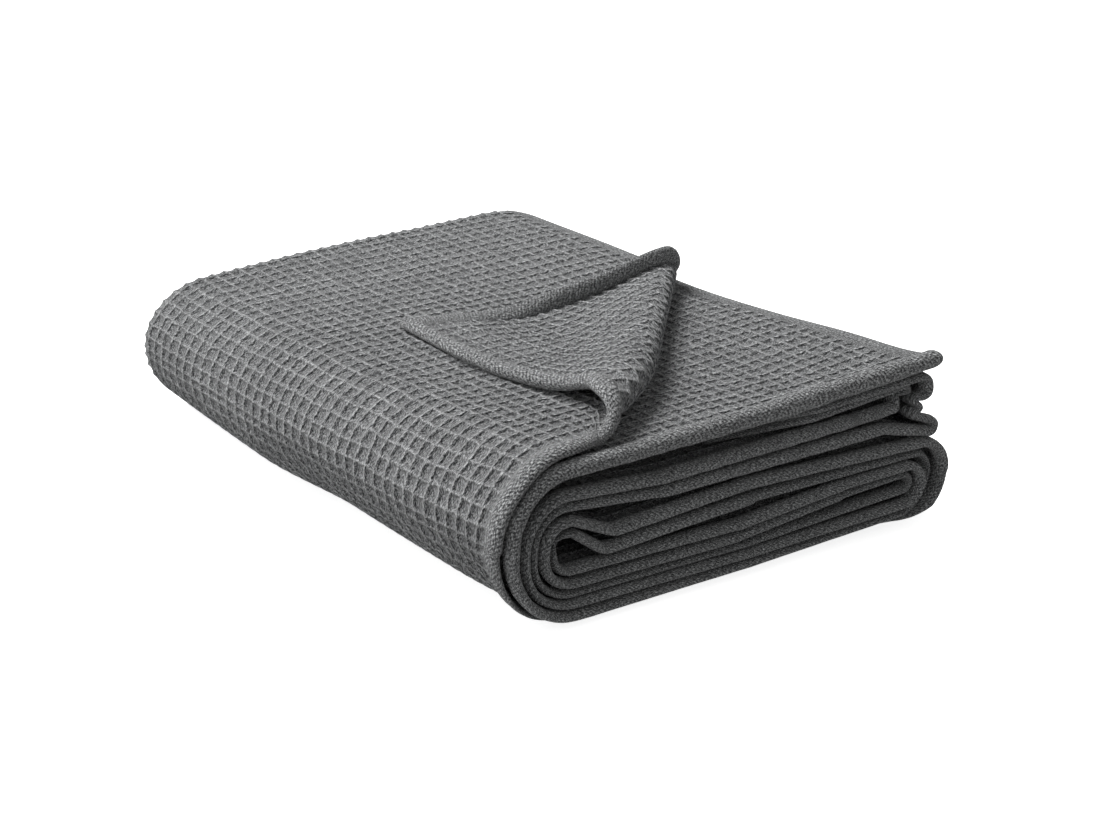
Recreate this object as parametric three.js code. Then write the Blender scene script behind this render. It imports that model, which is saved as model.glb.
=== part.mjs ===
// A waffle-weave bedspread, folded in half along its length and then back and forth into a
// thick stack, with the free front corner of its top layer turned back over the stack.
//
// It is one piece of cloth. Sheet A and sheet B are its two halves: they are joined by the fold
// at the back (the far end along Y) and lie together as a pair. The pair runs to and fro across
// X. Its section is the same all along Y, apart from the slow changes that uneven() makes.
//
// Millimetres, +Z up, +X along the layered front face, +Y from the hems to the back fold.

import * as THREE from 'three';

const DEPTH = 515; // hems to back fold
const CLOTH = 3.8; // thickness of the lofty cloth
const HEM_WIDTH = 14; // turned and stitched border
const HEM_NOSE = 2.4; // how far behind its edge a hem is full
const EDGE_SHARE = 0.6; // share of its thickness that it has at the very edge
const END_HEM = 5.4; // thickness of the hem across the cloth's free end
const BACK_BULGE = 10; // most that the back fold bulges past its two sheets
const BODY_ROWS = { A: [62, 96, 150, 300, 420], B: [150, 300, 420] }; // along Y, behind the hem
const BACK_ANGLES = [45, 135]; // degrees round the back fold
const WIDE_FOLD = 12; // radius from which a fold has finer facets
const WIDE_STEP = 30; // most degrees that one facet of a wide fold turns
const TIGHT_STEP = 55; // and of a tight one
const RUN_STEP = 105; // longest facet on a straight run
const PASSING_REACH = 2; // length that one sheet runs on while only the other is rounded
const ARC_SHARE = 0.35; // share of the change between two corners that falls on each arc
const CALM_FROM = 280; // behind this the loose fold on the right lies closer to sheet B
const CALM_GAP = 7; // distance of the two sheets there, at the back
const LOOSE_GAPS = [1.5, 2.5]; // calm gaps between the sheets at which a fold starts and is loose
const END_COLUMNS = [0, HEM_NOSE, HEM_WIDTH]; // across the hem of the free end

// The pair's way through the stack, from its free end on the right of the top layer to its end
// between the layers. One row is one corner of the folded section. x, z and r are the corner's
// place and rounding for each sheet, hem is the thickness of its hem, in is how far the hem is
// set back from the front, and drop is how far the edge of sheet B hangs there.
const FOLDS = table(
  ['corner', 'xA', 'zA', 'rA', 'xB', 'zB', 'rB', 'hemA', 'hemB', 'inA', 'inB', 'drop'],
  ['free end', 342, 124, 0, 340, 116.6, 0, 6, 9, 0, 0, 0],
  ['run 1, right', 240, 116.8, 0, 240, 108.4, 0, 8, 11, -8, 0, 0],
  ['run 1, middle', 200, 115.2, 0, 200, 106.8, 0, 9, 11, -1, 0, 0],
  ['run 1, roll', 162, 113.6, 0, 162, 105.2, 0, 8.6, 11, 17, 0, 0],
  ['run 1, crease', 92, 112, 0, 92, 102.6, 0, 8, 10, 16, 0, 0],
  ['outer left, top', -3, 112, 51, 6.5, 101, 41, 7.6, 8.6, 2, 0, 0],
  ['outer left, bottom', -3, 1.9, 57, 6, 7.6, 47, 3.8, 7, 9, 1, 1],
  ['run 8, left', 66, 1.9, 0, 66, 7.6, 0, 3.8, 6, 36, 3, 2.4],
  ['run 8, middle', 190, 1.9, 0, 190, 7.4, 0, 3.8, 5.6, 40, 3, 0.6],
  ['outer right, bottom', 356, 1.9, 33, 348, 9.6, 24, 3.8, 5, 6, 12, 0],
  ['outer right, top', 356, 58.6, 23, 348, 51, 16, 6.4, 4.4, 3, 12, 0],
  ['run 5, middle', 190, 61.4, 150, 190, 51, 150, 8.8, 8.6, 3, 3, 0],
  ['inner left, dip', 82, 54.5, 22, 75, 44, 14, 8.8, 8, 3, 3, 0],
  ['inner left, bump', 51, 68.2, 13, 53, 59.6, 7, 6.4, 6, 3, 4, 0],
  ['inner left, top', 31, 66.6, 14, 38.5, 58.6, 8, 6.2, 5.2, 3, 9, 0],
  ['inner left, bottom', 31, 27, 22, 38.5, 36, 11, 6.4, 6, 4, 5, 0],
  ['run 6, middle', 180, 26.8, 90, 180, 35.6, 90, 8.2, 8.2, 4, 2, 0],
  ['run 6, right', 268, 35.6, 60, 268, 43.2, 60, 6, 6.6, 5, 3, 0],
  ['inner right, top', 331, 38.6, 5.6, 339, 45.2, 12.6, 5, 6, 8, 3, 0],
  ['inner right, bottom', 331, 26.8, 5.6, 339, 17.6, 12.6, 6.4, 6.2, 8, 4, 0],
  ['run 7, middle', 190, 19.6, 200, 190, 13.4, 200, 4.8, 6.2, 6, 3, 0],
  ['middle left, bottom', 24, 19.6, 28, 17, 13.8, 35, 5.2, 6, 7, 4, 0],
  ['middle left, top', 24, 79.2, 22, 16.3, 86.8, 30, 6, 7.4, 5, 3, 0],
  ['run 3, middle', 120, 71, 120, 120, 80.4, 120, 8.6, 9.4, 4, 3, 0],
  ['right, low bulge', 306, 77, 18, 270, 85, 0, 6, 7.4, 5, 5, 0],
  ['right, low tip', 343, 63.4, 2.6, 277, 84.8, 0, 4.4, 7.4, 5, 5, 0],
  ['right, low return', 346, 69, 2.6, 284, 85, 0, 4.4, 7.2, 5, 6, 0],
  ['right, first notch', 316, 81, 2.5, 291, 85.2, 0, 4, 6.8, 6, 6, 0],
  ['right, middle tip', 332, 84, 3, 298, 85.2, 0, 4.2, 6.2, 5, 7, 0],
  ['right, second notch', 319, 93.4, 2.8, 306, 86, 4.4, 4, 5.2, 5, 8, 0],
  ['loop, bottom', 336, 96.4, 4.8, 306.5, 96.8, 4.4, 4.6, 5, 4, 8, 0],
  ['loop, top', 335, 107, 4.6, 290, 96.8, 0, 4.4, 4.8, 4, 10, 0],
  ['inner end', 165, 95.4, 0, 168, 89.4, 0, 3.8, 3.8, 22, 24, 0],
);

// The corner of sheet A's top run that is turned back. It rolls over a line across the run and
// lies back on the sheet.
const TURNED = {
  start: new THREE.Vector2(88, 5), // near end of the line, on the front hem
  end: new THREE.Vector2(328, 284), // far end of the line, on the free end
  rollNear: 12.5, // radius of the roll at its near end
  rollFar: 6, // and at its far end
  lie: 7, // height of the turned corner over the sheet that it lies on
  slope: 36, // how far the corner takes to come down from the roll
  settling: 0.92, // share of the run's own slope that the turned corner follows down
  slip: new THREE.Vector2(1.5, 2.3), // how far its near edge slips for each millimetre of that
  slipFade: [24, 105], // from the front hem, where that slip fades out
  rollFacets: 5,
  lieCuts: [16, 34, 70],
};
// The near end of the roll sags to the left, away from its line.
const SAG = { at: new THREE.Vector2(110, 22), reach: 46, shift: -27, from: -25, full: 10 };

// Slow unevenness of the whole stack.
const BACK_LEFT_SINK = 0.16; // share of its height that the stack loses at the back left
const LEFT_SKEW = 3; // how much farther out the left fold is at the back than at the front
const LEFT_BULGE = 6; // how far the left fold bulges out besides, halfway back
const RIGHT_SINK = 0.055; // share of its height that the right side loses, halfway back and behind
const RIGHT_SKEW = 5; // how much farther in the right side is at the back than at the front
const RIGHT_HOLLOW = 8; // how far the right side draws in besides, halfway back
const END_BOW = { depth: 1, at: 90, reach: 45, fade: 100 }; // hollow in the free end of sheet A
const LAYER_WAVE = 1.3; // height of the waves in the top layers
const WAVE = { x: 58, y: 90, length: 75, start: 0.6 }; // length of those waves, for one radian
const DROP_REACH = 34; // how far back from the front a hanging edge reaches
const WIDTH = 360; // across the layers, where the right side is reached
const TOP = 115; // height of the top layers over the lowest one
const TOP_RUN = { x: 200, z: 110 }; // sheet A is in its top run beyond and above this
const RUN_ROWS = 5; // rows of FOLDS that give the heights of the top run
const RUN_BEND = { xA: 40, zA: 110.5 }; // where the top run has begun to bend down on the left
const TURN_MARGIN = 30; // how far left of the turning line the surface may still be turned
const NEAR_ZERO = 1e-6;
const FLOOR_LEVEL = CLOTH / 2; // middle of the sheet that lies on the surface

/** Turns a header and rows into objects with named columns. */
function table(header, ...rows) {
  return rows.map((row) => Object.fromEntries(header.map((name, k) => [name, row[k]])));
}

/** Blends each named column of two rows. */
function mixRows(row, next, share, names) {
  const mixed = (name) => THREE.MathUtils.lerp(row[name], next[name], share);
  return Object.fromEntries(names.map((name) => [name, mixed(name)]));
}

/** Arc that rounds corner b between a and c: its ends and the points between them. */
function roundedCorner(a, b, c, radius, facets) {
  const into = b.clone().sub(a).normalize();
  const out = c.clone().sub(b).normalize();
  const turn = Math.atan2(into.cross(out), into.dot(out));
  const arc = (pointAt) => Array.from({ length: facets + 1 }, (_, k) => pointAt(k));
  if (radius === 0) {
    const spread = (k) => (facets ? ((2 * k) / facets - 1) * PASSING_REACH : 0);
    return arc((k) => b.clone().addScaledVector(spread(k) < 0 ? into : out, spread(k)));
  }
  const reach = radius * Math.tan(Math.abs(turn) / 2);
  const start = b.clone().addScaledVector(into, -reach);
  const side = new THREE.Vector2(-into.y, into.x).multiplyScalar(Math.sign(turn));
  const centre = start.clone().addScaledVector(side, radius);
  return arc((k) => start.clone().rotateAround(centre, (turn * k) / facets));
}

/** Degrees that a sheet turns at one corner. */
function turnAt(points, k) {
  const into = points[k].clone().sub(points[k - 1]);
  const out = points[k + 1].clone().sub(points[k]);
  return Math.abs(THREE.MathUtils.radToDeg(Math.atan2(into.cross(out), into.dot(out))));
}

/** Adds to each column where sheet A goes at the back, so that no loose fold is left there. */
function withCalmBack(columns) {
  return columns.map((column, i) => {
    const before = columns[Math.max(i - 1, 0)].b;
    const after = columns[Math.min(i + 1, columns.length - 1)].b;
    const along = after.clone().sub(before).normalize();
    const calm = column.b.clone().add(new THREE.Vector2(along.y, -along.x).multiplyScalar(CALM_GAP));
    const apart = column.a.distanceTo(column.b) / CALM_GAP;
    const loose = THREE.MathUtils.smoothstep(apart, ...LOOSE_GAPS);
    return { ...column, calm: column.a.clone().lerp(calm, loose) };
  });
}

/** Columns of the cloth along the section: matching places on both sheets, with hem sizes. */
function sectionColumns() {
  const names = ['hemA', 'hemB', 'inA', 'inB', 'drop'];
  const corners = {
    A: FOLDS.map((fold) => new THREE.Vector2(fold.xA, fold.zA)),
    B: FOLDS.map((fold) => new THREE.Vector2(fold.xB, fold.zB)),
  };
  const columns = [];
  const last = FOLDS.length - 1;
  // turn counts the corners passed, so that hem sizes change evenly from one corner to the next
  const add = (turn, a, b) => {
    const row = Math.min(Math.floor(turn), last - 1);
    columns.push({ ...mixRows(FOLDS[row], FOLDS[row + 1], turn - row, names), a, b });
  };
  const toSecond = (sheet, distance) => {
    const [first, second] = corners[sheet];
    return first.clone().addScaledVector(second.clone().sub(first).normalize(), distance);
  };
  for (const distance of END_COLUMNS) add(0, toSecond('A', distance), toSecond('B', distance));
  for (let k = 1; k <= last; k++) {
    const { rA, rB } = FOLDS[k];
    const rounded = k < last && (rA > 0 || rB > 0);
    const turned = rounded ? Math.max(rA && turnAt(corners.A, k), rB && turnAt(corners.B, k)) : 0;
    const step = Math.max(rA, rB) < WIDE_FOLD ? TIGHT_STEP : WIDE_STEP;
    const facets = rounded ? Math.max(1, Math.ceil(turned / step)) : 0;
    const arc = (sheet, radius) => roundedCorner(...corners[sheet].slice(k - 1, k + 2), radius, facets);
    const arcs = rounded ? { a: arc('A', rA), b: arc('B', rB) } : { a: [corners.A[k]], b: [corners.B[k]] };
    const { a, b } = columns.at(-1);
    const steps = Math.max(1, Math.ceil(a.distanceTo(arcs.a[0]) / RUN_STEP));
    const turnEnds = [k === 1 ? 0 : k - 1 + ARC_SHARE, rounded ? k - ARC_SHARE : k];
    for (let m = 1; m < steps; m++) {
      const share = m / steps;
      const [onA, onB] = [a.clone().lerp(arcs.a[0], share), b.clone().lerp(arcs.b[0], share)];
      add(THREE.MathUtils.lerp(...turnEnds, share), onA, onB);
    }
    arcs.a.forEach((point, m) => {
      const turn = rounded ? k + ARC_SHARE * ((2 * m) / facets - 1) : k;
      add(turn, point, arcs.b[m]);
    });
  }
  return withCalmBack(columns);
}

/** Half thickness of a sheet at a distance from a hem of the given thickness. */
function halfThickness(distance, hem) {
  if (distance === 0) return hem * EDGE_SHARE / 2;
  return (distance < HEM_WIDTH ? hem : CLOTH) / 2;
}

/** Slow changes of the section along the stack. */
function uneven(point) {
  const back = point.y / DEPTH;
  const right = THREE.MathUtils.clamp(point.x / WIDTH, 0, 1);
  const high = (point.z - FLOOR_LEVEL) / TOP;
  const wave = Math.sin(point.x / WAVE.x + point.y / WAVE.y) * Math.sin(point.y / WAVE.length + WAVE.start);
  const leftSink = BACK_LEFT_SINK * (1 - right) ** 2 * back;
  const rightSink = RIGHT_SINK * right ** 2 * THREE.MathUtils.smoothstep(back, 0, 0.5);
  const scale = 1 - leftSink - rightSink;
  const halfway = Math.sin(Math.PI * back);
  const leftShift = LEFT_SKEW * back + LEFT_BULGE * halfway;
  const rightShift = RIGHT_SKEW * back + RIGHT_HOLLOW * halfway;
  return new THREE.Vector3(
    point.x - THREE.MathUtils.lerp(leftShift, rightShift, right),
    point.y,
    FLOOR_LEVEL + (point.z - FLOOR_LEVEL) * scale + LAYER_WAVE * wave * Math.max(0, high) ** 2,
  );
}

/** Rows of one column, from the hem of sheet A round the back fold to the hem of sheet B. */
function columnRows(column, distanceFromEnd) {
  const rows = [];
  const endHalf = (half) => Math.max(half, halfThickness(distanceFromEnd, END_HEM));
  const nearEnd = Math.max(0, 1 - distanceFromEnd / END_BOW.fade);
  const bow = column.a.x > TOP_RUN.x ? END_BOW.depth * nearEnd : 0;
  const bowAt = (y) => bow * Math.exp(-(((y - END_BOW.at) / END_BOW.reach) ** 2));
  const gap = column.calm.clone().sub(column.b).multiplyScalar(0.5);
  const middle = column.calm.clone().add(column.b).multiplyScalar(0.5);
  const bulge = Math.min(gap.length(), BACK_BULGE);
  const place = (section, y, drop, inward) => new THREE.Vector3(section.x - inward, y, section.y - drop);
  const half = (sheet) => {
    const front = column[sheet.toLowerCase()];
    const back = sheet === 'A' ? column.calm : column.b;
    const sectionAt = (y) => front.clone().lerp(back, THREE.MathUtils.smoothstep(y, CALM_FROM, DEPTH - bulge));
    const inset = column[`in${sheet}`];
    const dropAt = (y) => (sheet === 'B' ? column.drop * Math.max(0, 1 - (y - inset) / DROP_REACH) ** 2 : 0);
    const inward = (y) => (sheet === 'A' ? bowAt(y) : 0);
    const hemRows = [0, HEM_NOSE, HEM_WIDTH].map((distance) => ({
      point: place(front, inset + distance, dropAt(inset + distance), inward(inset + distance)),
      half: endHalf(halfThickness(distance, column[`hem${sheet}`])),
      sheet,
    }));
    const bodyRows = [...BODY_ROWS[sheet], DEPTH - bulge].map((y) => ({
      point: place(sectionAt(y), y, 0, inward(y)),
      half: endHalf(CLOTH / 2),
      sheet,
    }));
    return [...hemRows, ...bodyRows];
  };
  rows.push(...half('A'));
  for (const degrees of BACK_ANGLES) {
    const angle = THREE.MathUtils.degToRad(degrees);
    const section = middle.clone().addScaledVector(gap, Math.cos(angle));
    rows.push({ point: place(section, DEPTH - bulge + bulge * Math.sin(angle), 0, 0), half: endHalf(CLOTH / 2) });
  }
  rows.push(...half('B').reverse());
  return rows;
}

/** Middle surface of the cloth before its corner is turned back. */
function middleSurface() {
  const columns = sectionColumns();
  const runEnd = columns.findIndex((column) => column.a.x < TURNED.start.x - TURN_MARGIN);
  const vertices = [];
  const triangles = [];
  let rowCount = 0;
  columns.forEach((column, i) => {
    const onTop = column.a.x > TOP_RUN.x && column.a.y > TOP_RUN.z;
    const rows = columnRows(column, onTop ? column.a.distanceTo(columns[0].a) : DEPTH);
    rowCount = rows.length;
    for (const row of rows) {
      vertices.push({ point: uneven(row.point), half: row.half, turnable: i <= runEnd && row.sheet === 'A' });
    }
  });
  for (let i = 0; i + 1 < columns.length; i++) {
    for (let j = 0; j + 1 < rowCount; j++) {
      const a = i * rowCount + j;
      const b = a + rowCount;
      triangles.push([a, b, b + 1], [a, b + 1, a + 1]);
    }
  }
  return { vertices, triangles };
}

/** Place of a point against the turning line: distance along it and past it, and roll radius. */
function againstLine(point) {
  const line = TURNED.end.clone().sub(TURNED.start);
  const length = line.length();
  const direction = line.divideScalar(length);
  const past = new THREE.Vector2(direction.y, -direction.x);
  const offset = new THREE.Vector2(point.x, point.y).sub(TURNED.start);
  const along = offset.dot(direction);
  const share = THREE.MathUtils.clamp(along / length, 0, 1);
  const radius = THREE.MathUtils.lerp(TURNED.rollNear, TURNED.rollFar, share);
  return { along, past: offset.dot(past), radius, side: past };
}

/** Cuts the turnable triangles where level(point) is zero, so that facets follow the roll. */
function cutSurface({ vertices, triangles }, level) {
  const value = vertices.map((vertex) => (vertex.turnable ? level(vertex.point) : -1));
  const cutPoints = new Map();
  const cutEdge = (a, b) => {
    const key = a < b ? `${a},${b}` : `${b},${a}`;
    if (!cutPoints.has(key)) {
      const share = value[a] / (value[a] - value[b]);
      const point = vertices[a].point.clone().lerp(vertices[b].point, share);
      const half = THREE.MathUtils.lerp(vertices[a].half, vertices[b].half, share);
      cutPoints.set(key, vertices.push({ point, half, turnable: true }) - 1);
    }
    return cutPoints.get(key);
  };
  const kept = [];
  const sideOf = (v) => (v < value.length && Math.abs(value[v]) > NEAR_ZERO ? Math.sign(value[v]) : 0);
  for (const corners of triangles) {
    if (!corners.some((v) => sideOf(v) > 0) || !corners.some((v) => sideOf(v) < 0)) {
      kept.push(corners);
      continue;
    }
    const ring = [];
    corners.forEach((v, k) => {
      const next = corners[(k + 1) % 3];
      ring.push(v);
      if (sideOf(v) * sideOf(next) < 0) ring.push(cutEdge(v, next));
    });
    const sides = { over: ring.filter((v) => sideOf(v) >= 0), under: ring.filter((v) => sideOf(v) <= 0) };
    for (const polygon of [sides.over, sides.under]) {
      for (let k = 1; k + 1 < polygon.length; k++) kept.push([polygon[0], polygon[k], polygon[k + 1]]);
    }
  }
  return { vertices, triangles: kept };
}

/** Height of the middle of sheet A's top run at a place. */
function runHeight(x, y) {
  const rows = [...FOLDS.slice(0, RUN_ROWS), RUN_BEND];
  const found = rows.findIndex((row) => row.xA < x);
  const left = found < 0 ? rows.length - 1 : Math.max(1, found);
  const [one, other] = [rows[left], rows[left - 1]];
  const share = THREE.MathUtils.clamp((x - one.xA) / (other.xA - one.xA), 0, 1);
  return uneven(new THREE.Vector3(x, y, THREE.MathUtils.lerp(one.zA, other.zA, share))).z;
}

/** Where a point of the flat top run goes when the corner is turned back. */
function turnBack(point) {
  const { past, radius, side } = againstLine(point);
  const turned = point.clone();
  if (past > 0) {
    const angle = Math.min(past / radius, Math.PI);
    const beyond = Math.max(0, past - Math.PI * radius);
    const reach = radius * Math.sin(angle) - beyond - past;
    const rise = radius * (1 - Math.cos(angle));
    const settled = THREE.MathUtils.lerp(TURNED.lie, 2 * radius, Math.exp(-((beyond / TURNED.slope) ** 2)));
    turned.add(new THREE.Vector3(side.x * reach, side.y * reach, beyond > 0 ? settled : rise));
    const fall = TURNED.settling * (runHeight(point.x, point.y) - runHeight(turned.x, turned.y));
    const slip = fall * (1 - THREE.MathUtils.smoothstep(point.y, ...TURNED.slipFade));
    turned.add(new THREE.Vector3(TURNED.slip.x * slip, TURNED.slip.y * slip, -fall));
  }
  const distance = Math.hypot(turned.x - SAG.at.x, turned.y - SAG.at.y);
  const loose = THREE.MathUtils.smoothstep(past, SAG.from, SAG.full);
  turned.x += SAG.shift * loose * Math.exp(-((distance / SAG.reach) ** 2));
  return turned;
}

/** Unit normals of the middle surface, one for each vertex. */
function surfaceNormals({ vertices, triangles }) {
  const normals = vertices.map(() => new THREE.Vector3());
  const facet = new THREE.Triangle();
  const normal = new THREE.Vector3();
  for (const corners of triangles) {
    facet.set(...corners.map((v) => vertices[v].point));
    facet.getNormal(normal);
    corners.forEach((v, k) => {
      const here = vertices[v].point;
      const one = vertices[corners[(k + 1) % 3]].point.clone().sub(here);
      const other = vertices[corners[(k + 2) % 3]].point.clone().sub(here);
      normals[v].addScaledVector(normal, one.angleTo(other));
    });
  }
  return normals.map((each) => each.normalize());
}

/** Closed solid: the middle surface moved out to both faces and joined round its edge. */
function thicken(surface) {
  const { vertices, triangles } = surface;
  const normals = surfaceNormals(surface);
  const count = vertices.length;
  const positions = [];
  for (const way of [1, -1]) {
    vertices.forEach((vertex, v) => {
      positions.push(...vertex.point.clone().addScaledVector(normals[v], way * vertex.half).toArray());
    });
  }
  const index = [];
  const edges = new Set(triangles.flatMap(([a, b, c]) => [`${a},${b}`, `${b},${c}`, `${c},${a}`]));
  for (const [a, b, c] of triangles) index.push(a, b, c, a + count, c + count, b + count);
  for (const edge of edges) {
    const [a, b] = edge.split(',').map(Number);
    if (!edges.has(`${b},${a}`)) index.push(a, a + count, b + count, a, b + count, b);
  }
  const geometry = new THREE.BufferGeometry();
  geometry.setAttribute('position', new THREE.Float32BufferAttribute(positions, 3));
  geometry.setIndex(index);
  return geometry;
}

/** The folded bedspread as one closed geometry, its origin under the middle of its box. */
function foldedBedspread() {
  let surface = middleSurface();
  for (let k = 0; k <= TURNED.rollFacets; k++) {
    surface = cutSurface(surface, (point) => {
      const { past, radius } = againstLine(point);
      return past - (radius * Math.PI * k) / TURNED.rollFacets;
    });
  }
  for (const beyond of TURNED.lieCuts) {
    surface = cutSurface(surface, (point) => {
      const { past, radius } = againstLine(point);
      return past - Math.PI * radius - beyond;
    });
  }
  for (const vertex of surface.vertices) {
    if (vertex.turnable) vertex.point = turnBack(vertex.point);
  }
  const geometry = thicken(surface);
  geometry.computeBoundingBox();
  const { min, max } = geometry.boundingBox;
  geometry.translate(-(min.x + max.x) / 2, -(min.y + max.y) / 2, -min.z);
  return geometry;
}

const waffleCloth = new THREE.MeshStandardMaterial({ color: 0x55585a, roughness: 0.95, metalness: 0 });

const bedspread = new THREE.Mesh(foldedBedspread(), waffleCloth);
bedspread.name = 'bedspread';

const model = new THREE.Group();
model.name = 'folded bedspread';
model.add(bedspread);

export default model;
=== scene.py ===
"""A folded waffle-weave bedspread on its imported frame.

The cloth is one piece, folded in half along its length and then to and fro into a stack. Its two
halves, A and B, meet at the fold at the back and lie together as a pair. The front corner of
half A's top run is turned back over the stack. The visible cloth is made as a few closed sheets
that continue each other along the folds, with the relief of the weave in their meshes.

Sizes are millimetres in the tables and in the section, where x 0 is at the left fold, y 0 at the
front hems and z 0 on the floor. Meshes are metres, in the frame's own place.

A place of the cloth is given by its length along the section from the free end and by its depth
from the front hem. A turn is the count of the section's corners passed. Points have x, y and z in
their last axis, and points of the section x and z.
"""

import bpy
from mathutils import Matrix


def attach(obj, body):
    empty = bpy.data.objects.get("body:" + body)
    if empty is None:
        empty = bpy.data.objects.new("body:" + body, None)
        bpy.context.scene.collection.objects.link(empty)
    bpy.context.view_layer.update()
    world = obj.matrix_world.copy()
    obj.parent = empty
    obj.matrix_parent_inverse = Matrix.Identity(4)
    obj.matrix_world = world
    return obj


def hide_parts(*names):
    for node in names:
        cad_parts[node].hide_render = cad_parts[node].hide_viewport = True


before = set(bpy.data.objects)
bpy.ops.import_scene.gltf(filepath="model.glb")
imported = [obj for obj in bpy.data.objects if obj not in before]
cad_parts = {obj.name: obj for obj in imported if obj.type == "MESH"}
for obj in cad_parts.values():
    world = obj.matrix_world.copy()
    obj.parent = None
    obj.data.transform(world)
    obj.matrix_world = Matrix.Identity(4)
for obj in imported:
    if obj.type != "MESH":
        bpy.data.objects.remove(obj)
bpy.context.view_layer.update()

import logging
import math
from collections.abc import Callable
from dataclasses import dataclass, field
from enum import Enum
from typing import Any

import bmesh
import bpy
import numpy as np
from mathutils import Vector

log = logging.getLogger("bedspread")

MM = 0.001
BODY = "root"
NODE = "bedspread"
TABLE_MIDDLE = np.array([172.953, 258.018, 0.0])  # of the folded stack, in the table's own place
TINY = 1e-12  # keeps a length of nothing from being divided by
DEPTH = 515.0  # of the stack, from the front hem to the back fold
HEM = 14.0  # width of a hem
CELLS_ALONG = 39  # from the front hem to the back fold

Array = np.ndarray
Socket = bpy.types.NodeSocket
Pair = tuple[float, float]
Trio = tuple[float, float, float]
Colour = tuple[float, float, float, float]
Waves = tuple[Trio, ...]  # height, length and seed of each ripple


class Half(Enum):
    """The two halves of the cloth, which the back fold joins."""

    A = "a"
    B = "b"


def own(sizes: object, name: str, half: Half) -> Any:
    """A size of which each half has its own."""
    return getattr(sizes, f"{name}_{half.value}")


def smoothstep(value: Array, low: float, high: float) -> Array:
    """Smooth change from 0 at low to 1 at high."""
    share = np.clip((value - low) / (high - low), 0.0, 1.0)
    return share * share * (3.0 - 2.0 * share)


def mix(first: Array, second: Array, share: Array) -> Array:
    """Straight blend of two values by a share."""
    return first + (second - first) * share


def hump(distance: Array, reach: float) -> Array:
    """Smooth hump that is 1 at no distance and fades away past its reach."""
    return np.exp(-((distance / reach) ** 2))


def fade(distance: Array, reach: float) -> Array:
    """Straight change from 1 at no distance to 0 at the reach."""
    return np.clip(1.0 - distance / reach, 0.0, 1.0)


def apart(places: Array, here: Pair) -> Array:
    """Distance in plan of places from one place."""
    return np.hypot(places[..., 0] - here[0], places[..., 1] - here[1])


def ripple(x: Array, y: Array, length: float, seed: float) -> Array:
    """Uneven waves between about -1 and 1, of a usual length. Each seed gives other waves."""
    # The numbers have no meaning but to mix the waves up.
    total = np.zeros(np.broadcast(x, y).shape)
    for k in range(4):
        way = seed * 1.7 + 2.4 * k
        scale = 2.0 * math.pi / (length * (1.0 + 0.37 * k))
        run = x * math.cos(way) + y * math.sin(way)
        across = y * math.cos(way) - x * math.sin(way)
        wave = np.sin(run * scale + 5.1 * seed + k)
        total += wave * np.cos(0.63 * across * scale + 2.3 * k + seed)
    return total / 2.4


def ripples(x: Array, y: Array, waves: Waves) -> list[Array]:
    """Several ripples over the same places."""
    return [height * ripple(x, y, length, seed) for height, length, seed in waves]


@dataclass(frozen=True)
class Corner:
    """One corner of the folded section: place and rounding of both halves, and their front hems.

    The hems have a thickness and stand in from the front there, and half B's hem drops.
    """

    name: str
    x_a: float
    z_a: float
    r_a: float
    x_b: float
    z_b: float
    r_b: float
    hem_a: float
    hem_b: float
    in_a: float
    in_b: float
    drop: float = 0.0

    def place(self, half: Half) -> Array:
        """The corner's place on one half."""
        return np.array([own(self, "x", half), own(self, "z", half)])


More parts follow.
